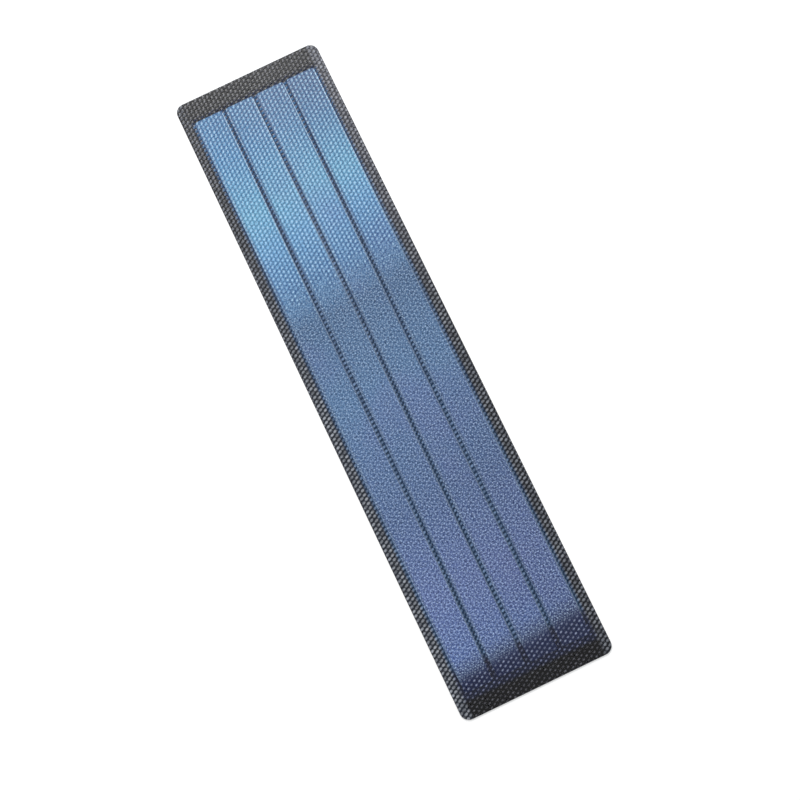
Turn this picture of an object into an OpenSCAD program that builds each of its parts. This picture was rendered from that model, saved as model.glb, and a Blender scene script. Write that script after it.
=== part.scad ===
// Flexible solar strip: four thin-film cells in series, sealed between a clear film and a black sheet.
// Millimetres. The strip lies flat on its back at z = 0, +Z faces the sun, +Y runs along it.
// The contacts are at the -Y end. Cell 1 is the one nearest -X.

/* [Strip] */
// Width of the strip
strip_w = 60; // [50:0.5:80]
// Length of the strip
strip_l = 258; // [120:1:320]
// Radius of the strip's four corners
strip_corner_r = 3.5; // [1:0.5:6]

/* [Layers] */
// Thickness of the black back sheet, over its bumps
back_sheet_t = 0.25; // [0.2:0.01:0.5]
// Thickness of the black adhesive under the cells
rear_adhesive_t = 0.2; // [0.18:0.01:0.4]
// Thickness of the clear adhesive over the cells
cover_adhesive_t = 0.18; // [0.16:0.01:0.4]
// Thickness of the clear front film, over its bumps
front_film_t = 0.25; // [0.15:0.01:0.5]

/* [Cells] */
// Distance from the strip's long edges to the outer cells
side_margin = 4.625; // [3:0.125:8]
// Distance from the strip's ends to the ends of the cells
end_margin = 9; // [7:0.5:30]
// Thickness of one cell, foil and coating
cell_t = 0.12; // [0.08:0.01:0.2]
// Space between two neighbouring cells
cell_gap = 1.25; // [1:0.05:2]
// Radius of a cell's corners
cell_corner_r = 1.2; // [0.4:0.1:2]

/* [Collector ribbons] */
// Width of the fine ribbon along a cell's edge
collector_w = 0.3; // [0.2:0.05:0.6]
// Thickness of the fine ribbon
collector_t = 0.05; // [0.03:0.01:0.06]
// Distance of the ribbon from the cell's edge
collector_inset = 0.15; // [0.1:0.05:0.5]

/* [Series links] */
// Width of a link, along the strip
link_w = 4; // [2:0.5:8]
// Distance of a link from the cells' contact end
link_end_inset = 3; // [2.5:0.5:20]
// How far a link reaches under the next cell
link_reach = 3; // [1:0.5:8]

/* [Terminal ribbons] */
// Thickness of the terminal ribbons and of the series links
ribbon_t = 0.08; // [0.05:0.01:0.1]
// Width of a terminal ribbon
ribbon_w = 4; // [3:0.5:5]
// How far the negative ribbon reaches under the first cell
ribbon_reach = 8; // [2:1:30]
// Width of the positive ribbon where it lies on the last cell's collector
foot_w = 1.2; // [0.8:0.1:1.6]
// How far the positive ribbon lies along the collector
foot_overlap = 3; // [1:0.5:8]
// Distance of the ribbons' upright bends from the ends of the cells
riser_gap = 0.5; // [0.3:0.1:0.8]

/* [Contacts] */
// Distance from the cells' ends to the centres of the contacts
contact_to_cell = 1.5; // [1.5:0.1:3]
// Distance of the negative contact from the strip's long edge
negative_side_inset = 9.5; // [8:0.1:14]
// Distance of the positive contact from the strip's other long edge
positive_side_inset = 10.3; // [8:0.1:14]
// Diameter of an eyelet's flange
flange_d = 2.8; // [2.6:0.1:3.2]
// Thickness of an eyelet's flange
flange_t = 0.08; // [0.05:0.01:0.1]
// Outer diameter of an eyelet's barrel
barrel_d = 2; // [1.8:0.1:2.2]
// Diameter of an eyelet's bore
bore_d = 1.5; // [1:0.1:1.6]

/* [Polarity label] */
// Diameter of the label
label_d = 4; // [3:0.1:5]
// Thickness of the label
label_t = 0.08; // [0.05:0.01:0.1]
// Distance between the centres of the label and the positive contact, along the strip
label_offset = 4.3; // [4.2:0.1:12]
// Distance of the label's centre from the strip's long edge
label_side_inset = 10; // [8:0.1:14]

/* [Clearances] */
// Space all round a piece in its pocket in the adhesive
pocket_gap = 0.05; // [0.02:0.01:0.1]
// Space all round an eyelet or label in the back sheet
seat_gap = 0.05; // [0.02:0.01:0.1]
// How far the eyelets and the label lie behind the back sheet's bumps
seat_depth = 0.02; // [0.01:0.01:0.05]

/* [Hidden] */
$fn = 64;
cell_count = 4;
// How far a cutting solid passes the face that it opens
cut_past = 0.1;

// Heights of the layers
rear_adhesive_z = back_sheet_t;
cell_z = rear_adhesive_z + rear_adhesive_t;
cell_top_z = cell_z + cell_t;
collector_top_z = cell_top_z + collector_t;
link_top_z = collector_top_z + ribbon_t;
film_z = cell_top_z + cover_adhesive_t;

// Cells fill the strip between its margins
cell_w = (strip_w - 2 * side_margin - (cell_count - 1) * cell_gap) / cell_count;
cell_l = strip_l - 2 * end_margin;

// Places across the strip
cell_pitch = cell_w + cell_gap;
negative_x = negative_side_inset - strip_w / 2;
positive_x = strip_w / 2 - positive_side_inset;
label_x = strip_w / 2 - label_side_inset;

// Places along the strip, at the contact end
cell_end_y = -cell_l / 2;
contact_y = cell_end_y - contact_to_cell;
riser_y = cell_end_y - riser_gap - ribbon_t;
label_y = contact_y + label_offset;

function cell_x(n) = (n - (cell_count + 1) / 2) * cell_pitch;
function gap_x(n) = cell_x(n) + cell_pitch / 2;
function collector_x(n) = cell_x(n) + cell_w / 2 - collector_inset - collector_w / 2;

// A flat plate with round corners, centred, with margin g added all round
module plate(w, l, r, t, g = 0) {
    linear_extrude(t) {
        square([w + 2 * g, l - 2 * r], center = true);
        square([w - 2 * r, l + 2 * g], center = true);
        for (x = [-1, 1], y = [-1, 1])
            translate([x * (w / 2 - r), y * (l / 2 - r)]) circle(r + g);
    }
}

// A box between two corners, with margin g added in plan
module block(low, high, g = 0) {
    translate([low.x - g, low.y - g, low.z])
        cube([high.x - low.x + 2 * g, high.y - low.y + 2 * g, high.z - low.z]);
}

module strip_sheet(t) {
    plate(strip_w, strip_l, strip_corner_r, t);
}

module cell_solid(n, g = 0, below = 0) {
    translate([cell_x(n), 0, cell_z - below]) plate(cell_w, cell_l, cell_corner_r, cell_t + below, g);
}

// The fine ribbon lies between the rounded corners of its cell
module collector_solid(n, g = 0, low_z = cell_top_z) {
    end = cell_l / 2 - cell_corner_r;
    block([collector_x(n) - collector_w / 2, -end, low_z],
        [collector_x(n) + collector_w / 2, end, collector_top_z], g);
}

// Upper foot of a link, on the collector of cell n, out to the bend in the gap
module link_upper(n, g = 0, low_z = collector_top_z) {
    block([collector_x(n) - collector_w / 2, cell_end_y + link_end_inset, low_z],
        [gap_x(n) + ribbon_t / 2, cell_end_y + link_end_inset + link_w, link_top_z], g);
}

// Lower foot of a link, from the bend in the gap to under cell n + 1
module link_lower(n, g = 0, high_z = cell_z) {
    block([gap_x(n) - ribbon_t / 2, cell_end_y + link_end_inset, cell_z - ribbon_t],
        [cell_x(n + 1) - cell_w / 2 + link_reach, cell_end_y + link_end_inset + link_w, high_z], g);
}

module link_riser(n) {
    block([gap_x(n) - ribbon_t / 2, cell_end_y + link_end_inset, cell_z - ribbon_t],
        [gap_x(n) + ribbon_t / 2, cell_end_y + link_end_inset + link_w, link_top_z]);
}

// Lower part of the negative ribbon, on the back sheet over its contact
module negative_pad(g = 0, low_z = rear_adhesive_z) {
    block([negative_x - ribbon_w / 2, contact_y - ribbon_w / 2, low_z],
        [negative_x + ribbon_w / 2, riser_y + ribbon_t, rear_adhesive_z + ribbon_t], g);
}

module negative_riser(g = 0, past = 0) {
    block([negative_x - ribbon_w / 2, riser_y, rear_adhesive_z - past],
        [negative_x + ribbon_w / 2, riser_y + ribbon_t, cell_z + past], g);
}

// Upper part of the negative ribbon, flat under the first cell's foil
module negative_foot(g = 0, past = 0) {
    block([negative_x - ribbon_w / 2, riser_y, cell_z - ribbon_t],
        [negative_x + ribbon_w / 2, cell_end_y + ribbon_reach, cell_z + past], g);
}

// Lower part of the positive ribbon, over its contact and across to the last cell's collector
module positive_pad(g = 0, low_z = rear_adhesive_z) {
    block([positive_x - ribbon_w / 2, contact_y - ribbon_w / 2, low_z],
        [collector_x(cell_count) + foot_w / 2, riser_y + ribbon_t, rear_adhesive_z + ribbon_t], g);
}

module positive_riser(g = 0, past = 0) {
    block([collector_x(cell_count) - foot_w / 2, riser_y, rear_adhesive_z - past],
        [collector_x(cell_count) + foot_w / 2, riser_y + ribbon_t, link_top_z], g);
}

// Upper part of the positive ribbon, flat on the last cell's collector
module positive_foot(g = 0, low_z = collector_top_z) {
    block([collector_x(cell_count) - foot_w / 2, riser_y, low_z],
        [collector_x(cell_count) + foot_w / 2, cell_end_y + cell_corner_r + foot_overlap, link_top_z], g);
}

// Stepped seat for an eyelet: the flange's counterbore and the barrel's hole through the sheet
module eyelet_seat(x) {
    translate([x, contact_y, -cut_past]) {
        cylinder(d = flange_d + 2 * seat_gap, h = cut_past + seat_depth + flange_t);
        cylinder(d = barrel_d + 2 * seat_gap, h = back_sheet_t + 2 * cut_past);
    }
}

// Hollow eyelet: its flange is in the counterbore and its barrel reaches up to the ribbon
module eyelet(x) {
    translate([x, contact_y, 0]) difference() {
        union() {
            translate([0, 0, seat_depth]) cylinder(d = flange_d, h = flange_t);
            translate([0, 0, seat_depth]) cylinder(d = barrel_d, h = back_sheet_t - seat_depth);
        }
        translate([0, 0, -cut_past]) cylinder(d = bore_d, h = back_sheet_t + 2 * cut_past);
    }
}

module front_film() {
    color([0.85, 0.9, 0.95, 0.3]) translate([0, 0, film_z]) strip_sheet(front_film_t);
}

// Clear adhesive with a pocket for each cell and for what stands on the cells
module front_adhesive() {
    color([0.9, 0.92, 0.9, 0.3]) difference() {
        translate([0, 0, cell_z]) strip_sheet(film_z - cell_z);
        for (n = [1 : cell_count]) {
            cell_solid(n, pocket_gap, cut_past);
            collector_solid(n, pocket_gap, cell_z - cut_past);
        }
        for (n = [1 : cell_count - 1]) link_upper(n, pocket_gap, cell_z - cut_past);
        positive_foot(pocket_gap, cell_z - cut_past);
    }
}

module cell(n) {
    color("steelblue") cell_solid(n);
}

module collector(n) {
    color("silver") collector_solid(n);
}

module series_link(n) {
    color("dimgray") union() {
        link_upper(n);
        link_riser(n);
        link_lower(n);
    }
}

module negative_ribbon() {
    color("dimgray") union() {
        negative_pad();
        negative_riser();
        negative_foot();
    }
}

module positive_ribbon() {
    color("dimgray") union() {
        positive_pad();
        positive_riser();
        positive_foot();
    }
}

module negative_eyelet() {
    color("lightgray") eyelet(negative_x);
}

module positive_eyelet() {
    color("lightpink") eyelet(positive_x);
}

module polarity_label() {
    color("white") translate([label_x, label_y, seat_depth]) cylinder(d = label_d, h = label_t);
}

// Black adhesive with pockets for the ribbons and the links' lower feet
module rear_adhesive() {
    color([0.14, 0.15, 0.16]) difference() {
        translate([0, 0, rear_adhesive_z]) strip_sheet(rear_adhesive_t);
        for (n = [1 : cell_count - 1]) link_lower(n, pocket_gap, cell_z + cut_past);
        negative_pad(pocket_gap, rear_adhesive_z - cut_past);
        negative_riser(pocket_gap, cut_past);
        negative_foot(pocket_gap, cut_past);
        positive_pad(pocket_gap, rear_adhesive_z - cut_past);
        positive_riser(pocket_gap, cut_past);
    }
}

module back_sheet() {
    color([0.19, 0.2, 0.22]) difference() {
        strip_sheet(back_sheet_t);
        eyelet_seat(negative_x);
        eyelet_seat(positive_x);
        translate([label_x, label_y, -cut_past])
            cylinder(d = label_d + 2 * seat_gap, h = cut_past + seat_depth + label_t);
    }
}

front_film();
front_adhesive();
cell(1);  // cell_1
cell(2);  // cell_2
cell(3);  // cell_3
cell(4);  // cell_4
collector(1);  // collector_1
collector(2);  // collector_2
collector(3);  // collector_3
collector(4);  // collector_4
series_link(1);  // series_link_1
series_link(2);  // series_link_2
series_link(3);  // series_link_3
negative_ribbon();
positive_ribbon();
negative_eyelet();
positive_eyelet();
polarity_label();
rear_adhesive();
back_sheet();
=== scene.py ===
import math

import bmesh
import bpy
import numpy as np
from mathutils import Matrix, Vector
from mathutils.geometry import tessellate_polygon


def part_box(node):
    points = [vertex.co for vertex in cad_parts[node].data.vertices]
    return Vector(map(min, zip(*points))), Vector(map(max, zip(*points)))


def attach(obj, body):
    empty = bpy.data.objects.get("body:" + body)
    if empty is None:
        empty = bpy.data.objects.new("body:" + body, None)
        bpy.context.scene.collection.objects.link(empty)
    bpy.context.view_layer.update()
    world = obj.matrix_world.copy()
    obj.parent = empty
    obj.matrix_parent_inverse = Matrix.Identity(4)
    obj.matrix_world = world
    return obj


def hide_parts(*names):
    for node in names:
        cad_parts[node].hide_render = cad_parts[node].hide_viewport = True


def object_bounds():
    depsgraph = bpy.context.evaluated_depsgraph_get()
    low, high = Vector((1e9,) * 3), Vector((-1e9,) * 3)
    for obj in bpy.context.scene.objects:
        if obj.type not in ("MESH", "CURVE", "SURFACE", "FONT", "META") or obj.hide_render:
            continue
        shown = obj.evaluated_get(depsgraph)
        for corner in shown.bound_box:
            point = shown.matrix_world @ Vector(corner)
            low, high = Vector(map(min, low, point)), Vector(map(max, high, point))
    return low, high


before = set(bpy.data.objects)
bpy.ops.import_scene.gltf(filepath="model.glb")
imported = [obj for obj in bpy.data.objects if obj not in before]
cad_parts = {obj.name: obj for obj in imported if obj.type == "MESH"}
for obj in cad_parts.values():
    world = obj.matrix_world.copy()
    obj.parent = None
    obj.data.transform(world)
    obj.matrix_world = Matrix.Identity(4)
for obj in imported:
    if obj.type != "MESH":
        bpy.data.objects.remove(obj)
cadLow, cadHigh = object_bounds()
print("frame loaded:", len(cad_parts), "nodes")

mm = 0.001
tiny = 1e-9  # keeps a comparison or a division clear of rounding
samePlace = 0.2e-6  # points nearer than this are one
noiseSpan = (0.3, 0.7)  # where nearly all the values of a noise lie
white = (1.0, 1.0, 1.0, 1.0)
cellNames = ["cell_1", "cell_2", "cell_3", "cell_4"]
collectorNames = ["collector_1", "collector_2", "collector_3", "collector_4"]
ribbonNames = ["series_link_1", "series_link_2", "series_link_3", "negative_ribbon", "positive_ribbon"]

scene = bpy.context.scene
scene.view_settings.view_transform = "Standard"


# Camera: nearly overhead and turned, so that the strip lies across the picture as photographed

cameraSet = {
    "eye": (-12.11 * mm, -127.56 * mm, 610.52 * mm),
    "aim": (-0.35 * mm, -12.61 * mm, 0.0),
    "roll": 25.787,  # degrees, clockwise from the strip's own length
    "lens": 75.295,
    "sensor": 36.0,
    "clip": (0.05, 20.0),
}


# The camera looks from eye to aim, then turns about that line by roll
def makeCamera(values):
    data = bpy.data.cameras.new("camera")
    data.lens = values["lens"]
    data.sensor_width = values["sensor"]
    data.clip_start, data.clip_end = values["clip"]
    cam = bpy.data.objects.new("camera", data)
    eye, aim = Vector(values["eye"]), Vector(values["aim"])
    look = (aim - eye).normalized()
    side = look.cross(Vector((0.0, 1.0, 0.0))).normalized()
    up = side.cross(look)
    turn = Matrix.Rotation(math.radians(values["roll"]), 3, look)
    side, up = turn @ side, turn @ up
    cam.matrix_world = Matrix.Translation(eye) @ Matrix((side, up, -look)).transposed().to_4x4()
    scene.collection.objects.link(cam)
    scene.camera = cam


makeCamera(cameraSet)
print("camera made")


# Node helpers

def newMaterial(name):
    material = bpy.data.materials.new(name)
    material.use_nodes = True
    material.node_tree.nodes.clear()
    return material, material.node_tree


def addNode(tree, kind, **settings):
    node = tree.nodes.new(kind)
    for key, value in settings.items():
        setattr(node, key, value)
    return node


# Links a socket to an input, and writes in anything else
def setInput(tree, socket, value):
    if isinstance(value, bpy.types.NodeSocket):
        tree.links.new(value, socket)
    else:
        socket.default_value = value


# Sets a node's inputs by name, with _ for a space
def feed(tree, node, **inputs):
    for key, value in inputs.items():
        setInput(tree, node.inputs[key.replace("_", " ")], value)
    return node


def mathNode(tree, operation, *inputs, clamp=False):
    node = addNode(tree, "ShaderNodeMath", operation=operation, use_clamp=clamp)
    for socket, value in zip(node.inputs, inputs):
        setInput(tree, socket, value)
    return node.outputs[0]


# All the values multiplied together
def product(tree, first, *others):
    for other in others:
        first = mathNode(tree, "MULTIPLY", first, other)
    return first


# One less the value
def inverse(tree, value):
    return mathNode(tree, "SUBTRACT", 1.0, value)


# Root of the sum of two squares
def hypotenuse(tree, first, second):
    squares = (product(tree, value, value) for value in (first, second))
    return mathNode(tree, "SQRT", mathNode(tree, "ADD", *squares))


# Mixes two colours by a factor. A Mix node's colours are its inputs 6 and 7 and its output 2
def mixColours(tree, factor, first, second):
    node = addNode(tree, "ShaderNodeMix", data_type="RGBA")
    for index, value in ((0, factor), (6, first), (7, second)):
        setInput(tree, node.inputs[index], value)
    return node.outputs[2]


# Mixes the first colours of two pairs, and their second colours
def mixPairs(tree, factor, first, second):
    return [mixColours(tree, factor, a, b) for a, b in zip(first, second)]


def mixValues(tree, factor, first, second):
    node = addNode(tree, "ShaderNodeMix", data_type="FLOAT")
    return feed(tree, node, Factor=factor, A=first, B=second).outputs["Result"]


def mixShaders(tree, factor, first, second):
    node = addNode(tree, "ShaderNodeMixShader")
    for socket, value in zip(node.inputs, (factor, first, second)):
        setInput(tree, socket, value)
    return node.outputs[0]


# Carries a value from one span over to another, and stays within its ends
def mapRange(tree, value, source, target=(0.0, 1.0), kind="LINEAR"):
    node = addNode(tree, "ShaderNodeMapRange", interpolation_type=kind)
    feed(tree, node, Value=value, From_Min=source[0], From_Max=source[1], To_Min=target[0], To_Max=target[1])
    return node.outputs["Result"]


# Rises smoothly from 0 to 1 as value goes from low to high
def smoothStep(tree, value, low, high):
    return mapRange(tree, value, (low, high), kind="SMOOTHSTEP")


# Colour at a value from 0 to 1, mixed between the (place, colour) stops on its two sides
def colourRamp(tree, value, stops):
    node = addNode(tree, "ShaderNodeValToRGB")
    elements = node.color_ramp.elements
    while len(elements) < len(stops):
        elements.new(0.5)  # moved into place below
    for element, (place, shade) in zip(elements, stops):
        element.position, element.color = place, shade
    tree.links.new(value, node.inputs[0])
    return node.outputs[0]


def noise(tree, vector, scale, detail=3.0, roughness=0.5):
    node = addNode(tree, "ShaderNodeTexNoise")
    return feed(tree, node, Vector=vector, Scale=scale, Detail=detail, Roughness=roughness).outputs["Fac"]


def objectPlace(tree):
    return addNode(tree, "ShaderNodeTexCoord").outputs["Object"]


# One coordinate of the object's place, in metres
def placeOn(tree, axis):
    split = addNode(tree, "ShaderNodeSeparateXYZ")
    tree.links.new(objectPlace(tree), split.inputs[0])
    return split.outputs[axis]


def principled(tree, **inputs):
    return feed(tree, addNode(tree, "ShaderNodeBsdfPrincipled"), **inputs).outputs[0]


def output(tree, shader):
    tree.links.new(shader, addNode(tree, "ShaderNodeOutputMaterial").inputs["Surface"])


# Makes a shared effect: a group with named inputs, each with its usual value, and named outputs
def newGroup(name, inputs, outputs):
    tree = bpy.data.node_groups.new(name, "ShaderNodeTree")
    for key, value in inputs.items():
        tree.interface.new_socket(key, in_out="INPUT", socket_type="NodeSocketFloat").default_value = value
    for key in outputs:
        tree.interface.new_socket(key, in_out="OUTPUT", socket_type="NodeSocketFloat")
    return tree, addNode(tree, "NodeGroupInput").outputs, addNode(tree, "NodeGroupOutput")


# Places a shared effect in a material with the material's own values, and gives its outputs
def useGroup(tree, group, **inputs):
    return feed(tree, addNode(tree, "ShaderNodeGroup", node_tree=group), **inputs).outputs


# Written colours are sRGB, as a paint card gives them, from 0 to 255
def colour(red, green, blue):
    channels = [c / 255.0 for c in (red, green, blue)]
    return (*[c / 12.92 if c <= 0.04045 else ((c + 0.055) / 1.055) ** 2.4 for c in channels], 1.0)


# Pressing of the film and the back sheet

pressSet = {
    "columnStep": 1.55 * mm,  # between columns of bumps, which run along the strip
    "rowStep": 1.75 * mm,  # between bumps of one column; every other column is half a step along
    "lean": 0.0080,  # how far the columns lean towards +X as they go along
    "tilt": 0.0135,  # how far the rows fall as they go across
    "start": -0.65 * mm,  # where a column crosses the middle of the strip
    "bumpRadius": 0.89 * mm,
    "crown": 2.6,  # power of the bump's profile: 2 is a round cap, more is flatter on top
    "filmDepth": 0.17 * mm,
    "backDepth": 0.14 * mm,
    "cuts": 4,  # grid steps for each bump, both ways
    "endRoom": 0.3,  # share of a grid step that stays free of grid lines at each end
    "cornerRadius": 3.5 * mm,
    "collar": 0.5 * mm,  # width over which the bumps fade out beside an eyelet or the label
    "plain": 0.45,  # height of the faded face there, 0 as in the valleys and 1 as on top of the bumps
    "bevel": 0.12 * mm,  # width of the slope along the cut edge
    "cutShare": 0.9,  # share of the slope that counts as cut edge
    "smoothAngle": 50.0,  # degrees between faces that share their shading
}


# Shared effects

wearSet = {
    # Scale, detail and roughness of the noise behind each mark
    "Streaks": (14.0, 4.0, 0.5),
    "Clouds": (22.0, 3.0, 0.5),
    "Specks": (2600.0, 1.0, 0.5),
    "Grain": (1850.0, 2.0, 0.75),
}
streakStretch = (60.0, 4.0, 60.0)  # streaks are this much finer across the strip than along it


# Handling and rolling marks: long faint streaks along Y, wide soft clouds, fine specks and a coarser grain,
# each of them one noise on the object's place, whose scale a material may change
def makeMarksGroup(values):
    scales = {name + " Scale": noiseForm[0] for name, noiseForm in values.items()}
    tree, given, out = newGroup("handlingMarks", scales, values)
    place = objectPlace(tree)
    longer = feed(tree, addNode(tree, "ShaderNodeMapping"), Vector=place, Scale=streakStretch)
    places = {"Streaks": longer.outputs["Vector"]}
    feed(tree, out, **{name: noise(tree, places.get(name, place), given[name + " Scale"], *noiseForm[1:])
        for name, noiseForm in values.items()})
    return tree


marksGroup = makeMarksGroup(wearSet)


# How the pressing shows in what lies under it, as painted light and painted shade
spotSet = {
    # Distances from a bump's centre, in bump radii, at which each mask begins and is whole
    "masks": {"Bump": (0.64, 0.10), "Dome": (0.88, 0.36), "Valley": (0.55, 1.0), "Corner": (0.97, 1.08)},
    "unevenMasks": ("Bump", "Dome", "Corner"),  # stronger on some bumps than on others
    "uneven": (0.30, 1.06),
    "unevenNoise": (700.0, 1.0),  # scale and detail
}

# Ovals of the spots: length over width, and turn from X towards Y in radians
evenOval = {"Stretch": 1.06, "Turn": 0.0}  # over the middle of the cells
steepOval = {"Stretch": 1.4, "Turn": math.radians(52.0)}  # where the bumps gather light on the cells
slantOval = {"Stretch": 1.7, "Turn": math.radians(25.0)}  # over the black


# Distance to the nearest bump's centre, measured along and across an oval and wrapped over even and odd columns
# apart. Bump is 1 below the middle of a bump and Dome below most of it, Valley is 1 where bumps meet, and Corner
# only where three of them do
def makePressGroup(values, spots):
    tree, given, out = newGroup("pressing", {"Stretch": 1.0, "Turn": 0.0}, spots["masks"])
    x, y = placeOn(tree, "X"), placeOn(tree, "Y")
    across = mathNode(tree, "SUBTRACT", x, product(tree, y, values["lean"]))
    along = mathNode(tree, "ADD", y, product(tree, x, values["tilt"]))
    cosine, sine = (mathNode(tree, operation, given["Turn"]) for operation in ("COSINE", "SINE"))
    squeeze = mathNode(tree, "SQRT", given["Stretch"])
    halfX, halfY = values["columnStep"], values["rowStep"] / 2
    reaches = []
    for shiftX, shiftY in ((values["start"], 0.0), (values["start"] + halfX, halfY)):
        dx, dy = (mathNode(tree, "WRAP", mathNode(tree, "SUBTRACT", value, shift), half, -half)
            for value, shift, half in ((across, shiftX, halfX), (along, shiftY, halfY)))
        lengthwise = mathNode(tree, "ADD", product(tree, dx, cosine), product(tree, dy, sine))
        crosswise = mathNode(tree, "SUBTRACT", product(tree, dy, cosine), product(tree, dx, sine))
        reaches.append(hypotenuse(tree, mathNode(tree, "DIVIDE", lengthwise, squeeze),
            product(tree, crosswise, squeeze)))
    nearest = mathNode(tree, "DIVIDE", mathNode(tree, "MINIMUM", *reaches), values["bumpRadius"])
    masks = {key: smoothStep(tree, nearest, *span) for key, span in spots["masks"].items()}
    mottle = noise(tree, objectPlace(tree), *spots["unevenNoise"])
    uneven = mapRange(tree, mottle, noiseSpan, spots["uneven"])
    for key in spots["unevenMasks"]:
        masks[key] = mathNode(tree, "MULTIPLY", masks[key], uneven, clamp=True)
    feed(tree, out, **masks)
    return tree


pressGroup = makePressGroup(pressSet, spotSet)


# Materials

# Painted shade: the strip is darkened under the film towards the contacts, between these places
paintedDarkEnd = (cadLow.y + 22 * mm, cadLow.y + 14 * mm)

filmSet = {
    "index": 1.30,
    "clear": colour(252, 253, 254),
    "hazy": colour(244, 247, 250),
    "cloudShare": 0.6,  # the rest of the haze follows the streaks
    "rough": (0.26, 0.34),
}


# Clear pressed film, too thin to bend what shows through it: all that it doesn't mirror passes straight on
def makeFilmMaterial(values):
    material, tree = newMaterial("pressedClearFilm")
    wear = useGroup(tree, marksGroup)
    haze = mixValues(tree, values["cloudShare"], wear["Streaks"], wear["Clouds"])
    rough = mapRange(tree, haze, noiseSpan, values["rough"])
    gloss = feed(tree, addNode(tree, "ShaderNodeBsdfGlossy"), Color=white, Roughness=rough)
    tint = mixColours(tree, haze, values["clear"], values["hazy"])
    through = feed(tree, addNode(tree, "ShaderNodeBsdfTransparent"), Color=tint)
    fresnel = feed(tree, addNode(tree, "ShaderNodeFresnel"), IOR=values["index"])
    inside = addNode(tree, "ShaderNodeNewGeometry").outputs["Backfacing"]
    mirrored = product(tree, fresnel.outputs[0], inverse(tree, inside))
    output(tree, mixShaders(tree, mirrored, through.outputs[0], gloss.outputs[0]))
    return material


bondSet = {
    "haze": (colour(40, 44, 50), colour(70, 76, 84)),
    "rough": 0.6,
    "alpha": 0.01,
}


# Bonded face inside the clear laminate, where nothing is seen but a trace of haze
def makeBondMaterial(values):
    material, tree = newMaterial("bondedClearFace")
    haze = mixColours(tree, useGroup(tree, marksGroup)["Clouds"], *values["haze"])
    output(tree, principled(tree, Base_Color=haze, Roughness=values["rough"], Specular_IOR_Level=0.0,
        Alpha=values["alpha"]))
    return material


cutSet = {
    "shades": (colour(176, 180, 186), colour(210, 213, 216)),
    "rough": 0.5,
    # The contact end's extra frost is also a painted highlight along that cut edge
    "nearEnd": (-120 * mm, -128 * mm),  # it is frosted more from here to here
    "frostAndHighlight": (0.4, 1.6),  # span of the frost, to which the end and the grain each add up to 1
    "alpha": (0.15, 0.8),
}


# Cut edge of the clear film, a little frosted, more so at the contact end, where the extra frost is a painted
# highlight
def makeCutMaterial(values):
    material, tree = newMaterial("cutFilmEdge")
    wear = useGroup(tree, marksGroup)
    shade = mixColours(tree, wear["Specks"], *values["shades"])
    nearEnd = smoothStep(tree, placeOn(tree, "Y"), *values["nearEnd"])
    frostAndHighlight = mathNode(tree, "ADD", nearEnd, wear["Grain"])
    alpha = mapRange(tree, frostAndHighlight, values["frostAndHighlight"], values["alpha"])
    output(tree, principled(tree, Base_Color=shade, Roughness=values["rough"], Alpha=alpha))
    return material


cellSet = {
    # Colour of the coating at places along the strip, 0 at the contact end and 1 at the far end: partly the
    # coating's own tint, with painted sheen that makes it paler towards the far end and painted shade that makes
    # the contact end near black
    "tintAndSheen": [
        (0.034, colour(22, 27, 56)),
        (0.052, colour(26, 33, 66)),
        (0.063, colour(48, 60, 98)),
        (0.073, colour(88, 108, 158)),
        (0.090, colour(113, 141, 209)),
        (0.180, colour(121, 142, 206)),
        (0.300, colour(98, 127, 179)),
        (0.480, colour(105, 147, 192)),
        (0.612, colour(90, 127, 167)),
        (0.680, colour(115, 172, 222)),
        (0.740, colour(134, 203, 252)),
        (0.800, colour(143, 220, 255)),
        (0.900, colour(110, 181, 231)),
        (0.960, colour(99, 165, 213)),
    ],
    "tilt": -0.08,  # how far the drift leans across the strip
    "bodyFrom": (0.054, 0.072),  # where the dark end gives way to the blue
    "streak": colour(62, 84, 128),
    "streakShare": 0.16,
    "violet": colour(122, 128, 196),  # tint of the wide clouds in the coating
    "violetShare": 0.28,
    "violetFrom": (0.48, 0.66),
    "isolation": colour(112, 134, 160),  # paler zone along each cell's -X edge
    "isolationShare": 0.5,
    "isolationFrom": (1.3 * mm, 0.715 * mm),  # distances from that edge
    "farSide": colour(60, 70, 100),  # the cells darken towards +X, more so near the contacts
    "farSideShare": (0.46, 0.12),
    "farSideFrom": (0.08, 0.55),
    "pale": colour(94, 100, 124),  # and grow greyer towards +X near the far end
    "paleShare": 0.62,
    "paleFrom": (0.78, 0.96),
    # Painted light and painted shade of the bumps. Dots: each bump gathers light in its middle. Points: the light
    # gathers between the bumps
    "dotsFrom": (0.62, 0.68),  # where points change to dots
    "ragged": 0.16,  # how unevenly they change over
    "raggedNoise": (450.0, 1.0),
    "dots": 0.95,  # strength of the dots, and of the dark round them
    "dotsShadow": 0.50,
    "dotLight": colour(204, 235, 255),
    "dotDark": colour(0, 16, 90),
    "points": 1.2,  # strength of the points, and of the dark below the bumps
    "pointsShadow": 0.36,
    "pointLight": colour(208, 230, 255),
    "pointDark": colour(0, 8, 60),
    "endLight": colour(168, 177, 208),  # light of the dots over the dark end
    # Grain of the coating: its dark and its light grains, and the noise values they come from
    "grainDark": 0.60,
    "grainDarkFrom": (0.56, 0.34),
    "grainLight": 0.46,
    "grainLightFrom": (0.50, 0.68),
    "gain": (1.25, 1.0),  # grain and points are stronger near the contacts
    "gainFrom": (0.1, 0.5),
    "rough": (0.44, 0.56),
}
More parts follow.
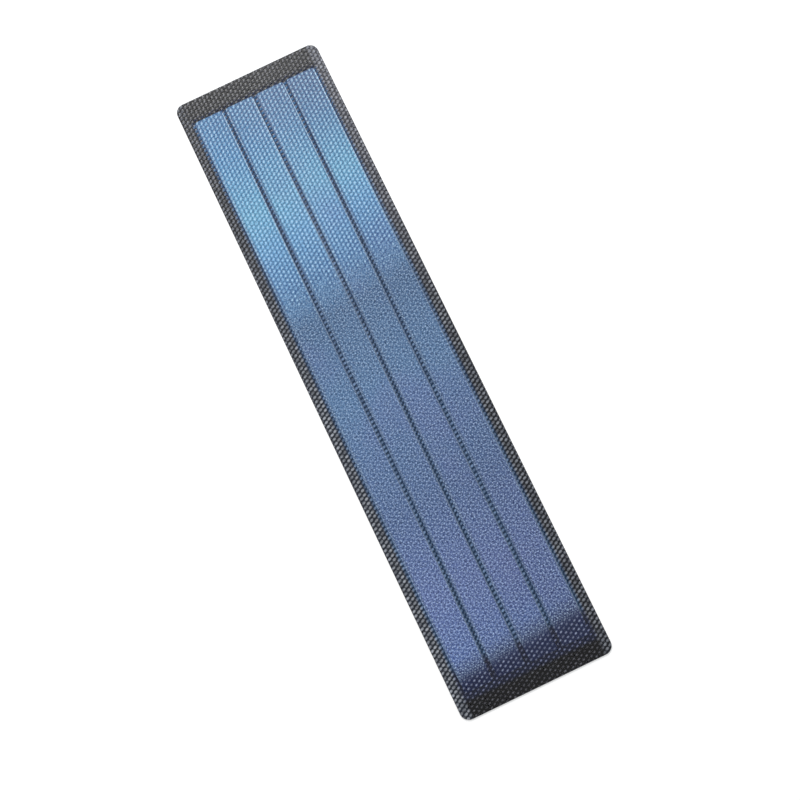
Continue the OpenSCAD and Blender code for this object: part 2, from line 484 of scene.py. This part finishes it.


# Blue coating: its colour changes along the strip, partly its own tint and partly painted sheen towards the far
# end and painted shade at the contact end, with grains and streaks from the coating line. Each tint is mixed over
# the ones before it by a mask of its own
def makeCoatingMaterial(values):
    material, tree = newMaterial("blueCoating")
    x, y = placeOn(tree, "X"), placeOn(tree, "Y")
    wear = useGroup(tree, marksGroup)
    leaning = mathNode(tree, "ADD", y, product(tree, x, values["tilt"]))
    along = mapRange(tree, leaning, (cadLow.y, cadHigh.y))
    across = mapRange(tree, x, (cadLow.x, cadHigh.x))
    body = smoothStep(tree, along, *values["bodyFrom"])

    # Painted sheen and painted shade along the strip, over the coating's own tint
    shade = colourRamp(tree, along, values["tintAndSheen"])
    shade = mixColours(tree, product(tree, wear["Streaks"], values["streakShare"]), shade, values["streak"])
    violet = product(tree, smoothStep(tree, wear["Clouds"], *values["violetFrom"]), values["violetShare"])
    shade = mixColours(tree, violet, shade, values["violet"])
    edge = addNode(tree, "ShaderNodeAttribute", attribute_name="leftEdge").outputs["Fac"]
    zone = smoothStep(tree, edge, *values["isolationFrom"])
    shade = mixColours(tree, product(tree, zone, values["isolationShare"], body), shade, values["isolation"])
    darker = mapRange(tree, along, values["farSideFrom"], values["farSideShare"])
    shade = mixColours(tree, product(tree, across, darker), shade, values["farSide"])
    paler = product(tree, smoothStep(tree, along, *values["paleFrom"]), values["paleShare"])
    shade = mixColours(tree, product(tree, across, paler), shade, values["pale"])

    patchy = mathNode(tree, "SUBTRACT", noise(tree, objectPlace(tree), *values["raggedNoise"]), 0.5)
    ragged = mathNode(tree, "ADD", along, product(tree, patchy, values["ragged"]))
    dotted = smoothStep(tree, ragged, *values["dotsFrom"])
    dark = mixColours(tree, dotted, values["pointDark"], values["dotDark"])
    light = mixColours(tree, dotted, values["pointLight"], values["dotLight"])
    light = mixColours(tree, body, values["endLight"], light)
    gain = mapRange(tree, along, values["gainFrom"], values["gain"])
    for key, tone in (("grainDark", dark), ("grainLight", light)):
        grains = smoothStep(tree, wear["Grain"], *values[key + "From"])
        shade = mixColours(tree, product(tree, grains, gain, body, values[key]), shade, tone)

    # Painted light and painted shade of the bumps: dots over the far part and over the dark end, points between
    # them
    even, steep, slant = (useGroup(tree, pressGroup, **oval) for oval in (evenOval, steepOval, slantOval))
    lensed = mathNode(tree, "MAXIMUM", dotted, inverse(tree, body))
    darkMask = mixValues(tree, lensed, product(tree, even["Dome"], values["pointsShadow"]),
        product(tree, steep["Valley"], values["dotsShadow"]))
    spots = product(tree, mixValues(tree, body, slant["Bump"], steep["Bump"]), values["dots"])
    lightMask = mixValues(tree, lensed, product(tree, even["Corner"], values["points"], gain), spots)
    shade = mixColours(tree, darkMask, shade, dark)
    shade = mixColours(tree, lightMask, shade, light)
    rough = mapRange(tree, wear["Specks"], noiseSpan, values["rough"])
    output(tree, principled(tree, Base_Color=shade, Roughness=rough, Specular_IOR_Level=0.0))
    return material


rimSet = {
    "steel": (colour(74, 106, 146), colour(52, 80, 120)),
    # Painted shade at the contact end
    "dark": colour(22, 24, 36),
    "metal": 0.1,
    "rough": (0.35, 0.55),
}


# Bare foil at a cell's rim: steel in streaks, rolled lengthwise, that takes up the blue beside it, with painted
# shade towards the contacts
def makeFoilMaterial(values):
    material, tree = newMaterial("bareSteelFoil")
    wear = useGroup(tree, marksGroup)
    steel = mixColours(tree, wear["Streaks"], *values["steel"])
    shade = mixColours(tree, smoothStep(tree, placeOn(tree, "Y"), *paintedDarkEnd), steel, values["dark"])
    rough = mixValues(tree, wear["Specks"], *values["rough"])
    output(tree, principled(tree, Base_Color=shade, Metallic=values["metal"], Roughness=rough,
        Specular_IOR_Level=0.0))
    return material


tinnedSet = {
    # Painted sheen: the solder is paler towards the far end
    "near": (colour(112, 128, 150), colour(142, 158, 178)),
    "far": (colour(148, 176, 200), colour(178, 202, 220)),
    "sheenFarFrom": (10 * mm, 80 * mm),
    # Painted shade where the film's valleys cross it
    "creaseShade": colour(20, 38, 66),  # where the film's valleys cross it
    "creaseShadeShare": 0.5,
    # Painted shade at the contact end
    "dark": colour(22, 25, 38),
    "lumpNoise": (900.0, 2.0),
    "lumpStrength": 0.3,
    "lumpHeight": 0.02 * mm,
    "metal": 0.2,
    "rough": (0.3, 0.5),
}


# Tinned ribbon: lumpy solder with painted sheen that makes it paler towards the far end, painted shade where the
# film's valleys cross it and painted shade at the contact end
def makeTinnedMaterial(values):
    material, tree = newMaterial("tinnedRibbon")
    y = placeOn(tree, "Y")
    lumps = noise(tree, objectPlace(tree), *values["lumpNoise"])
    pair = mixPairs(tree, smoothStep(tree, y, *values["sheenFarFrom"]), values["near"], values["far"])
    shade = mixColours(tree, lumps, *pair)
    valleys = useGroup(tree, pressGroup, **slantOval)["Valley"]
    shade = mixColours(tree, product(tree, valleys, values["creaseShadeShare"]), shade, values["creaseShade"])
    shade = mixColours(tree, smoothStep(tree, y, *paintedDarkEnd), shade, values["dark"])
    rough = mixValues(tree, useGroup(tree, marksGroup)["Streaks"], *values["rough"])
    relief = feed(tree, addNode(tree, "ShaderNodeBump"), Strength=values["lumpStrength"],
        Distance=values["lumpHeight"], Height=lumps)
    output(tree, principled(tree, Base_Color=shade, Metallic=values["metal"], Roughness=rough,
        Specular_IOR_Level=0.0, Normal=relief.outputs["Normal"]))
    return material


sheetSet = {
    "shades": (colour(25, 27, 32), colour(37, 39, 45)),
    "shadeFrom": (0.35, 0.65),
    "speckShare": 0.5,  # the rest of the shade follows the clouds
    "rough": (0.36, 0.46),
}


# Black sheet with soft clouds and specks in its shade and streaks in its gloss
def makeSheetMaterial(values):
    material, tree = newMaterial("pressedBlackSheet")
    wear = useGroup(tree, marksGroup)
    mix = mixValues(tree, values["speckShare"], wear["Clouds"], wear["Specks"])
    shade = mixColours(tree, smoothStep(tree, mix, *values["shadeFrom"]), *values["shades"])
    rough = mapRange(tree, wear["Streaks"], noiseSpan, values["rough"])
    output(tree, principled(tree, Base_Color=shade, Roughness=rough))
    return material


eyeletSet = {
    "plated": (colour(166, 168, 172), colour(128, 131, 136)),
    "copper": (colour(176, 128, 136), colour(142, 98, 108)),
    "tarnishScale": 1500.0,
    "metal": 0.75,
    "rough": (0.2, 0.45),
}


# Metal that dulls in small patches, with specks in its gloss
def makeEyeletMaterial(values, finish):
    material, tree = newMaterial(finish + "Eyelet")
    shade = mixColours(tree, noise(tree, objectPlace(tree), values["tarnishScale"]), *values[finish])
    rough = mixValues(tree, useGroup(tree, marksGroup)["Specks"], *values["rough"])
    output(tree, principled(tree, Base_Color=shade, Metallic=values["metal"], Roughness=rough))
    return material


labelSet = {
    "paper": (colour(238, 230, 230), colour(248, 244, 243)),
    "ink": colour(196, 96, 104),
    "inkShare": 0.8,
    "ringRadius": 1.15 * mm,
    "ringFrom": (0.16 * mm, 0.06 * mm),  # distances from the ring's line where the ink begins and is whole
    "dotFrom": (0.336 * mm, 0.224 * mm),  # the same from the label's centre
    "rough": 0.7,
}


# White label: distance from its centre gives a thin red ring and a dot
def makeLabelMaterial(values, centre):
    material, tree = newMaterial("labelPaper")
    dx, dy = (mathNode(tree, "SUBTRACT", placeOn(tree, axis), middle)
        for axis, middle in (("X", centre.x), ("Y", centre.y)))
    radius = hypotenuse(tree, dx, dy)
    offRing = mathNode(tree, "ABSOLUTE", mathNode(tree, "SUBTRACT", radius, values["ringRadius"]))
    ring = smoothStep(tree, offRing, *values["ringFrom"])
    dot = smoothStep(tree, radius, *values["dotFrom"])
    printed = product(tree, mathNode(tree, "MAXIMUM", ring, dot), values["inkShare"])
    paper = mixColours(tree, useGroup(tree, marksGroup)["Specks"], *values["paper"])
    shade = mixColours(tree, printed, paper, values["ink"])
    output(tree, principled(tree, Base_Color=shade, Roughness=values["rough"]))
    return material


adhesiveSet = {
    # Colours in the valleys and below the bumps; those below the bumps are painted glints
    # Between the cells the cells' blue is painted in, as light spilled from them
    "gap": (colour(16, 45, 75), colour(138, 167, 206)),  # between the cells, whose blue it takes up
    "farGap": (colour(0, 34, 72), colour(84, 140, 190)),  # the same towards the far end
    # Painted shade round the cells' dark ends
    "end": (colour(22, 28, 52), colour(154, 162, 200)),  # round the cells' dark ends
    # Painted shadow just beyond the cells' far end
    "shadowFringe": (colour(7, 9, 18), colour(46, 54, 84)),  # just beyond the cells' far end
    # Borders and sides: their painted glints are brighter at the far border and along the sides
    "farBorder": (colour(7, 7, 9), colour(152, 151, 155)),
    "nearBorder": (colour(7, 7, 11), colour(118, 118, 124)),
    "left": (colour(29, 34, 45), colour(195, 198, 205)),
    "farLeft": (colour(2, 4, 12), colour(146, 148, 156)),
    "right": (colour(9, 12, 24), colour(167, 170, 177)),
    "farRight": (colour(42, 43, 54), colour(182, 183, 190)),
    # Where each begins and is complete
    "farGapFrom": (60.0 * mm, 105.0 * mm),
    "endFrom": (-109.0 * mm, -113.0 * mm),
    "shadowFringeFrom": (119.2 * mm, 120.2 * mm),
    "farBorderFrom": (120.8 * mm, 122.6 * mm),
    "nearBorderFrom": (-121.0 * mm, -123.5 * mm),
    "rightFrom": (-5.0 * mm, 5.0 * mm),
    "farSideFrom": (-20.0 * mm, 100.0 * mm),
    "sideFrom": (25.6 * mm, 27.0 * mm),
    "farDomes": 0.45,  # share of wide spots in the far border
    "mottle": 0.3,  # how far the clouds take the light out of the spots
    # The spots stop just short of the cut edge
    "rimX": (29.75 * mm, 29.95 * mm),
    "rimY": (128.75 * mm, 128.95 * mm),
    "rough": (0.5, 0.75),
}


# Black under the clear layers, with painted glints where a bump gathers light on it. Each zone has its own two
# colours
def makeAdhesiveMaterial(name, values):
    material, tree = newMaterial(name)
    x, y = placeOn(tree, "X"), placeOn(tree, "Y")
    offX, offY = mathNode(tree, "ABSOLUTE", x), mathNode(tree, "ABSOLUTE", y)
    wear = useGroup(tree, marksGroup)
    zones = ("farGap", "end", "shadowFringe", "farBorder", "nearBorder")
    masks = {key: smoothStep(tree, y, *values[key + "From"]) for key in zones}
    pair = values["gap"]
    for key, mask in masks.items():
        pair = mixPairs(tree, mask, pair, values[key])
    far = smoothStep(tree, y, *values["farSideFrom"])
    left = mixPairs(tree, far, values["left"], values["farLeft"])
    right = mixPairs(tree, far, values["right"], values["farRight"])
    sidePair = mixPairs(tree, smoothStep(tree, x, *values["rightFrom"]), left, right)
    side = smoothStep(tree, offX, *values["sideFrom"])
    dark, lit = mixPairs(tree, side, pair, sidePair)
    lit = mixColours(tree, product(tree, wear["Clouds"], values["mottle"]), lit, dark)

    # Painted glints: small spots at both ends, wide ones along the sides and between the cells
    nearEnd = mathNode(tree, "MAXIMUM", masks["end"], masks["nearBorder"])
    farEnd = product(tree, masks["farBorder"], 1 - values["farDomes"])
    small = product(tree, mathNode(tree, "MAXIMUM", nearEnd, farEnd), inverse(tree, side))
    rim = mathNode(tree, "MAXIMUM", smoothStep(tree, offX, *values["rimX"]),
        smoothStep(tree, offY, *values["rimY"]))
    slant = useGroup(tree, pressGroup, **slantOval)
    spots = product(tree, mixValues(tree, small, slant["Dome"], slant["Bump"]), inverse(tree, rim))
    shade = mixColours(tree, spots, dark, lit)
    rough = mapRange(tree, wear["Specks"], noiseSpan, values["rough"])
    output(tree, principled(tree, Base_Color=shade, Roughness=rough, Specular_IOR_Level=0.0))
    return material


labelLow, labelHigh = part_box("polarity_label")
filmMaterial = makeFilmMaterial(filmSet)
bondMaterial = makeBondMaterial(bondSet)
cutMaterial = makeCutMaterial(cutSet)
coatingMaterial = makeCoatingMaterial(cellSet)
foilMaterial = makeFoilMaterial(rimSet)
tinnedMaterial = makeTinnedMaterial(tinnedSet)
ribbonMaterial = makeAdhesiveMaterial("blackRibbon", adhesiveSet)
adhesiveMaterial = makeAdhesiveMaterial("blackAdhesive", adhesiveSet)
sheetMaterial = makeSheetMaterial(sheetSet)
platedMaterial = makeEyeletMaterial(eyeletSet, "plated")
copperMaterial = makeEyeletMaterial(eyeletSet, "copper")
labelMaterial = makeLabelMaterial(labelSet, (labelLow + labelHigh) / 2)
print("materials made:", len(bpy.data.materials))


# Mesh helpers

# New object from points and faces, at the origin
def newPiece(name, points, faces):
    mesh = bpy.data.meshes.new(name)
    mesh.from_pydata(points.tolist(), [], faces)
    obj = bpy.data.objects.new(name, mesh)
    scene.collection.objects.link(obj)
    return obj


# A vector of each vertex or face, three numbers to a row
def readVectors(parts, key):
    values = np.zeros(len(parts) * 3)
    parts.foreach_get(key, values)
    return values.reshape(-1, 3)


# Puts the outline's points at one height behind the others, and gives all the points and the new loop's indices
def addLoop(points, outline, z):
    loop = np.arange(len(points), len(points) + len(outline))
    return np.concatenate([points, np.column_stack([outline, np.full(len(outline), z)])]), loop


# Quads between two closed loops of the same length
def bridge(first, second):
    return np.stack([first, np.roll(first, -1), np.roll(second, -1), second], axis=1)


# Joins vertices that meet
def mergeMesh(obj):
    work = bmesh.new()
    work.from_mesh(obj.data)
    bmesh.ops.remove_doubles(work, verts=work.verts, dist=samePlace)
    openEdges = sum(not edge.is_manifold for edge in work.edges)
    triangles = sum(len(face.verts) - 2 for face in work.faces)
    volume = work.calc_volume(signed=True) / mm ** 3
    work.to_mesh(obj.data)
    work.free()
    print(f"  {obj.name}: {triangles} triangles, {openEdges} open edges, {volume:.1f} mm3")


# Faces that lean less than the angle share their shading, the rest stay crisp
def shadeSmooth(obj, degrees):
    obj.data.polygons.foreach_set("use_smooth", np.ones(len(obj.data.polygons), bool))
    obj.data.set_sharp_from_angle(angle=math.radians(degrees))


def setMaterials(obj, *materials):
    obj.data.materials.clear()
    for material in materials:
        obj.data.materials.append(material)


# Says what the piece rides on and hides the CAD nodes it stands for. Slot, where its finish would come from, is
# not used
def finishPiece(obj, slot, *replaced):
    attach(obj, "root")
    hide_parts(*replaced)


# Pressed sheets

# Height of the bumps, 0 in the valleys and 1 on top: one less a power of the distance to the nearest bump's
# centre, in bump radii. Even and odd columns are tried apart, and the nearer one wins
def bumpHeight(x, y, values):
    x, y = x - values["lean"] * y - values["start"], y + values["tilt"] * x
    wide, tall = 2 * values["columnStep"], values["rowStep"]
    nearest = np.full(np.shape(x), np.inf)
    for shiftX, shiftY in ((0.0, 0.0), (wide / 2, tall / 2)):
        dx = (x - shiftX) - wide * np.round((x - shiftX) / wide)
        dy = (y - shiftY) - tall * np.round((y - shiftY) / tall)
        nearest = np.minimum(nearest, np.hypot(dx, dy))
    return np.clip(1 - (nearest / values["bumpRadius"]) ** values["crown"], 0, 1)


# Grid lines from low to high that fall on multiples of step, with the two ends added. None is nearer to an end
# than room, a share of the step
def gridLines(low, high, step, room):
    inner = np.arange(math.ceil(low / step), math.floor(high / step) + 1) * step
    inner = inner[(inner > low + step * room) & (inner < high - step * room)]
    return np.concatenate(([low], inner, [high]))


# How far a point is outside a rectangle with round corners, less than 0 inside
def outsideBy(x, y, halfX, halfY, radius):
    qx, qy = np.abs(x) - (halfX - radius), np.abs(y) - (halfY - radius)
    corner = np.hypot(np.maximum(qx, 0), np.maximum(qy, 0)) - radius
    return np.where((qx > 0) & (qy > 0), corner, np.maximum(qx, qy) - radius)


# Moves points along a line from a centre onto a circle round it
def ontoCircle(x, y, centreX, centreY, radius):
    dx, dy = x - centreX, y - centreY
    reach = np.maximum(np.hypot(dx, dy), tiny)
    return centreX + dx / reach * radius, centreY + dy / reach * radius


# Vertices on the edges that only one face uses
def rimVertices(quads):
    edges = np.concatenate([quads[:, [0, 1]], quads[:, [1, 2]], quads[:, [2, 3]], quads[:, [3, 0]]])
    found, count = np.unique(np.sort(edges, axis=1), axis=0, return_counts=True)
    return np.unique(found[count == 1])


# Indices of the given vertices in order round a centre, anticlockwise from above
def roundOrder(indices, points, centre):
    angle = np.arctan2(points[indices, 1] - centre[1], points[indices, 0] - centre[0])
    return indices[np.argsort(angle)]


# Triangles that fill the first loop and leave the others as holes, all turned to look to side
def fillLoops(points, loops, side):
    order = np.concatenate(loops)
    corners = [[Vector(points[index]) for index in loop] for loop in loops]
    found = order[np.array(tessellate_polygon(corners))]
    first, second, third = (points[found[:, place]] for place in range(3))
    facing = np.cross(second - first, third - first)[:, 2]
    return np.where((facing * side < 0)[:, None], found[:, ::-1], found)


# Grid of a sheet's face. Quads wholly outside the round corners or inside a recess go, and points of the others
# that lie there move onto the arc. Fade is 0 at a recess and rises smoothly to 1 over the collar
def trimmedGrid(halfX, halfY, radius, recesses, values):
    xs = gridLines(-halfX, halfX, values["columnStep"] / values["cuts"], values["endRoom"])
    ys = gridLines(-halfY, halfY, values["rowStep"] / values["cuts"], values["endRoom"])
    x, y = (part.ravel() for part in np.meshgrid(xs, ys))
    index = np.arange(x.size).reshape(len(ys), len(xs))
    quads = np.stack([index[:-1, :-1], index[:-1, 1:], index[1:, 1:], index[1:, :-1]], axis=-1).reshape(-1, 4)
    outside = outsideBy(x, y, halfX, halfY, radius) > tiny
    quads = quads[~outside[quads].all(axis=1)]
    arcX, arcY = ontoCircle(x, y, np.sign(x) * (halfX - radius), np.sign(y) * (halfY - radius), radius)
    x, y = np.where(outside, arcX, x), np.where(outside, arcY, y)
    fade = np.ones(x.size)
    for recess in recesses:
        (centreX, centreY), mouth = recess["at"], recess["rings"][0][0]
        inside = np.hypot(x - centreX, y - centreY) < mouth
        quads = quads[~inside[quads].all(axis=1)]
        arcX, arcY = ontoCircle(x, y, centreX, centreY, mouth)
        x, y = np.where(inside, arcX, x), np.where(inside, arcY, y)
        away = np.clip((np.hypot(x - centreX, y - centreY) - mouth) / values["collar"], 0, 1)
        fade = np.minimum(fade, away * away * (3 - 2 * away))
    return x, y, quads, fade


# A sheet with bumps on the face at faceZ, which stand out to side +1 or -1, and a flat face at farZ.
# The face is a grid, trimmed to the round-cornered outline less its bevel and to round recesses.
# A recess is sunk by rings of (radius, z), inwards from the face, and is open or has a flat bottom.
# Height is plain plus fade times the bump's height above plain
def pressedSheet(name, low, high, faceZ, farZ, side, depth, recesses, values):
    bevel = values["bevel"]
    halfX, halfY = (high.x - low.x) / 2 - bevel, (high.y - low.y) / 2 - bevel
    radius = values["cornerRadius"] - bevel
    x, y, quads, fade = trimmedGrid(halfX, halfY, radius, recesses, values)
    height = values["plain"] + (bumpHeight(x, y, values) - values["plain"]) * fade
    points = np.stack([x, y, faceZ - side * depth * (1 - height)], axis=1)
    rim = rimVertices(quads)
    walls, flats, holes = [], [], []
    for recess in recesses:
        centre = np.array(recess["at"])
        near = np.hypot(*(points[rim, :2] - centre).T) < recess["rings"][0][0] + samePlace
        loop = roundOrder(rim[near], points, centre)
        rim = rim[~near]
        for ringRadius, ringZ in recess["rings"]:
            ring = np.stack(ontoCircle(points[loop, 0], points[loop, 1], *centre, ringRadius), axis=1)
            points, fresh = addLoop(points, ring, ringZ)
            walls.append(bridge(loop, fresh))
            loop = fresh
        (holes if recess["open"] else flats).append(loop)
    # Slope out to the full outline, then the cut wall down to the far face
    outer = roundOrder(rim, points, (0.0, 0.0))
    core = np.clip(points[outer, :2], (radius - halfX, radius - halfY), (halfX - radius, halfY - radius))
    outline = core + (points[outer, :2] - core) * (1 + bevel / radius)
    for z in (faceZ - side * depth, farZ):
        points, fresh = addLoop(points, outline, z)
        walls.append(bridge(outer, fresh))
        outer = fresh
    far = fillLoops(points, [outer] + holes, -side)
    turned = slice(None, None, -side)
    faces = quads[:, ::side].tolist() + [face for wall in walls for face in wall[:, turned].tolist()]
    faces += [loop[::side].tolist() for loop in flats] + far.tolist()
    return newPiece(name, points, faces)


# Front film: bumps up, its flat underside a hair above the adhesive

filmLow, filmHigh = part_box("front_film")
bondGap = 0.01 * mm


# Faces at the underside's height are bonded, those on the outer slope and wall are cut, and the rest is pressed
def makeFrontFilm(values):
    underside = filmLow.z + bondGap
    obj = pressedSheet("front_film_pressed", filmLow, filmHigh, filmHigh.z, underside, 1,
        values["filmDepth"], [], values)
    setMaterials(obj, filmMaterial, bondMaterial, cutMaterial)
    mergeMesh(obj)
    shadeSmooth(obj, values["smoothAngle"])
    x, y, z = readVectors(obj.data.polygons, "center").T
    flat = np.abs(z - underside) < samePlace
    outside = outsideBy(x, y, filmHigh.x, filmHigh.y, values["cornerRadius"])
    cut = outside > -values["bevel"] * values["cutShare"]
    obj.data.polygons.foreach_set("material_index", np.where(flat, 1, np.where(cut, 2, 0)).astype(np.int32))
    finishPiece(obj, "clear_film", "front_film")


makeFrontFilm(pressSet)


# Front adhesive: the CAD sheet with its pockets, with each level a hair clear of what it is bonded to

clearSet = {
    "rimWidth": 0.1 * mm,  # faces whose middle is nearer than this to the outline may be its cut edge
    "upright": 0.5,  # and are, where their normal rises less than this
}


# Points at the film's height move down and all others up, by the bond's gap
def makeFrontAdhesive(values):
    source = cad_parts["front_adhesive"]
    obj = bpy.data.objects.new("front_adhesive_clear", source.data.copy())
    scene.collection.objects.link(obj)
    mergeMesh(obj)
    place = readVectors(obj.data.vertices, "co")
    place[:, 2] += np.where(place[:, 2] > filmLow.z - bondGap / 2, -bondGap, bondGap)
    obj.data.vertices.foreach_set("co", place.ravel())
    setMaterials(obj, filmMaterial, bondMaterial)
    x, y, z = readVectors(obj.data.polygons, "center").T
    edge = outsideBy(x, y, filmHigh.x, filmHigh.y, pressSet["cornerRadius"]) > -values["rimWidth"]
    upright = np.abs(readVectors(obj.data.polygons, "normal")[:, 2]) < values["upright"]
    obj.data.polygons.foreach_set("material_index", (~(edge & upright)).astype(np.int32))
    finishPiece(obj, "clear_adhesive", "front_adhesive")


makeFrontAdhesive(clearSet)


# Back sheet: bumps down, stepped seats for the eyelets and a shallow one for the label

backLow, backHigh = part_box("back_sheet")
eyeletBoxes = [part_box(name) for name in ("negative_eyelet", "positive_eyelet")]

seatSet = {
    "gap": 0.05 * mm,
    "seatZ": 0.10 * mm,  # depth of the flange's and the label's seats
    "barrelRadius": 1.0 * mm,
}


# Recess round a piece's box: its seat is the box's half width and the gap, and further rings may follow
def recessFor(low, high, seats, further, isOpen):
    seat = ((high.x - low.x) / 2 + seats["gap"], seats["seatZ"])
    return {"at": ((low.x + high.x) / 2, (low.y + high.y) / 2), "rings": [seat] + further, "open": isOpen}


# An eyelet's recess goes in from its seat to the barrel and through the sheet, and the label's ends in its seat
def makeBackSheet(values, seats):
    barrel = seats["barrelRadius"] + seats["gap"]
    bore = [(barrel, seats["seatZ"]), (barrel, backHigh.z)]
    recesses = [recessFor(low, high, seats, bore, True) for low, high in eyeletBoxes]
    recesses.append(recessFor(labelLow, labelHigh, seats, [], False))
    obj = pressedSheet("back_sheet_pressed", backLow, backHigh, backLow.z, backHigh.z, -1,
        values["backDepth"], recesses, values)
    setMaterials(obj, sheetMaterial)
    mergeMesh(obj)
    shadeSmooth(obj, values["smoothAngle"])
    finishPiece(obj, "black_sheet", "back_sheet")


makeBackSheet(pressSet, seatSet)
print("sheets pressed")


# Cells: steel foil with a coating that stops short of its rim

foilSet = {
    "cornerRadius": 1.2 * mm,
    "arcSteps": 10,
    "coating": 0.015 * mm,  # thickness of the coating
    "rim": 0.16 * mm,  # bare foil round the coating
    "slope": 0.01 * mm,  # width of the slope at the coating's edge
    "lower": 0.01 * mm,  # gap below the adhesive's pocket
    "shrink": 0.01 * mm,
}


# Outline of a rectangle with round corners, anticlockwise: arcs of equal steps about the four corner centres
def roundedLoop(halfX, halfY, radius, steps):
    angle = np.linspace(0, math.pi / 2, steps)
    parts = []
    for turn, (sx, sy) in enumerate(((1, 1), (-1, 1), (-1, -1), (1, -1))):
        around = angle + turn * math.pi / 2
        parts.append(np.stack([sx * (halfX - radius) + radius * np.cos(around),
            sy * (halfY - radius) + radius * np.sin(around)], axis=1))
    return np.concatenate(parts)


# Rings of a box's outline at (inset, z), joined by walls and closed by a flat face at each end
def steppedPlate(name, low, high, rings, values):
    centre, half = (low + high) / 2, (high - low) / 2
    points, loops = np.zeros((0, 3)), []
    for inset, z in rings:
        outline = roundedLoop(half.x - inset, half.y - inset, values["cornerRadius"] - inset, values["arcSteps"])
        points, loop = addLoop(points, outline + (centre.x, centre.y), z)
        loops.append(loop)
    faces = [face for pair in zip(loops[:-1], loops[1:]) for face in bridge(*pair).tolist()]
    faces += [loops[0][::-1].tolist(), loops[-1].tolist()]
    return newPiece(name, points, faces)


# The coating takes the faces above the foil. Each point keeps its distance from the cell's -X edge
def makeCell(name, values):
    low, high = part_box(name)
    top = high.z - values["lower"]
    foilTop = top - values["coating"]
    rings = [(values["shrink"], low.z), (values["shrink"], foilTop), (values["rim"], foilTop),
        (values["rim"] + values["slope"], top)]
    obj = steppedPlate(name + "_foil", low, high, rings, values)
    setMaterials(obj, foilMaterial, coatingMaterial)
    coated = readVectors(obj.data.polygons, "center")[:, 2] > foilTop + samePlace
    obj.data.polygons.foreach_set("material_index", coated.astype(np.int32))
    edge = obj.data.attributes.new("leftEdge", "FLOAT", "POINT")
    distance = readVectors(obj.data.vertices, "co")[:, 0] - low.x
    edge.data.foreach_set("value", distance.astype(np.float32))
    finishPiece(obj, "cell", name)


for name in cellNames:
    makeCell(name, foilSet)
print("cells made")


# CAD pieces that keep their own form

# Gives CAD nodes a material and leaves their meshes as they are
def dress(names, material):
    for name in names:
        setMaterials(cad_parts[name], material)


dress(collectorNames, tinnedMaterial)
dress(ribbonNames, ribbonMaterial)
dress(["rear_adhesive"], adhesiveMaterial)
dress(["negative_eyelet"], platedMaterial)
dress(["positive_eyelet"], copperMaterial)
dress(["polarity_label"], labelMaterial)
print("cad pieces dressed")


# Floor, lamps and world

floorSet = {
    "size": 6.0,
    "z": -0.02 * mm,
    "paint": (colour(225, 225, 225), colour(228, 228, 228)),
    "paintScale": 3.0,
    "rough": 0.9,
    "glow": (0.45, 0.63),  # lifts the floor to white as it is seen, near the strip and where the lamp's light ends
    "fade": (0.3, 1.4),  # distances between which the one passes into the other
}


# 1 for what is seen by the camera, in gloss or through glass, 0 for what lights other things
def seenMask(tree, path):
    indirect = mathNode(tree, "MAXIMUM", path["Is Glossy Ray"], path["Is Transmission Ray"])
    return mathNode(tree, "MAXIMUM", path["Is Camera Ray"], indirect)


# White floor that keeps the strip's shadow. From below it is clear, and it lets light up to the back
def makeFloor(values):
    half = values["size"] / 2
    corners = np.array([(-half, -half), (half, -half), (half, half), (-half, half)])
    points, loop = addLoop(np.zeros((0, 3)), corners, values["z"])
    floor = newPiece("floor", points, [loop.tolist()])
    material, tree = newMaterial("whiteFloor")
    place = objectPlace(tree)
    shade = mixColours(tree, noise(tree, place, values["paintScale"]), *values["paint"])
    path = addNode(tree, "ShaderNodeLightPath").outputs
    away = hypotenuse(tree, placeOn(tree, "X"), placeOn(tree, "Y"))
    glow = mapRange(tree, away, values["fade"], values["glow"], "SMOOTHSTEP")
    body = principled(tree, Base_Color=shade, Roughness=values["rough"], Specular_IOR_Level=0.0,
        Emission_Color=white, Emission_Strength=product(tree, seenMask(tree, path), glow))
    clear = addNode(tree, "ShaderNodeBsdfTransparent").outputs[0]
    below = addNode(tree, "ShaderNodeNewGeometry").outputs["Backfacing"]
    passes = mathNode(tree, "MAXIMUM", below, path["Is Shadow Ray"])
    output(tree, mixShaders(tree, passes, body, clear))
    setMaterials(floor, material)


lampSets = [
    {"name": "windowPanel", "at": (0.05, 0.64, 0.70), "aim": (0.0, 0.05, 0.0), "size": (0.19, 0.19), "power": 5.4},
    {"name": "underPanel", "at": (0.10, -0.35, -0.60), "aim": (0.0, 0.0, 0.0), "size": (0.19, 0.19), "power": 2.6},
]


# A panel at its place, turned to face its aim
def makeLamp(values):
    data = bpy.data.lights.new(values["name"], "AREA")
    data.shape = "RECTANGLE"
    data.size, data.size_y = values["size"]
    data.energy = values["power"]
    lamp = bpy.data.objects.new(values["name"], data)
    lamp.location = values["at"]
    aim = Vector(values["aim"]) - Vector(values["at"])
    lamp.rotation_euler = aim.to_track_quat("-Z", "Y").to_euler()
    scene.collection.objects.link(lamp)


worldSet = {"light": 0.50, "shown": 1.0}


# The world lights softly, and shows as white to the camera and in gloss and glass
def makeWorld(values):
    world = bpy.data.worlds.new("studio")
    world.use_nodes = True
    tree = world.node_tree
    tree.nodes.clear()
    seen = seenMask(tree, addNode(tree, "ShaderNodeLightPath").outputs)
    strength = mixValues(tree, seen, values["light"], values["shown"])
    back = feed(tree, addNode(tree, "ShaderNodeBackground"), Color=white, Strength=strength)
    tree.links.new(back.outputs[0], addNode(tree, "ShaderNodeOutputWorld").inputs["Surface"])
    scene.world = world


makeFloor(floorSet)
for values in lampSets:
    makeLamp(values)
makeWorld(worldSet)
print("floor, lamps and world made")
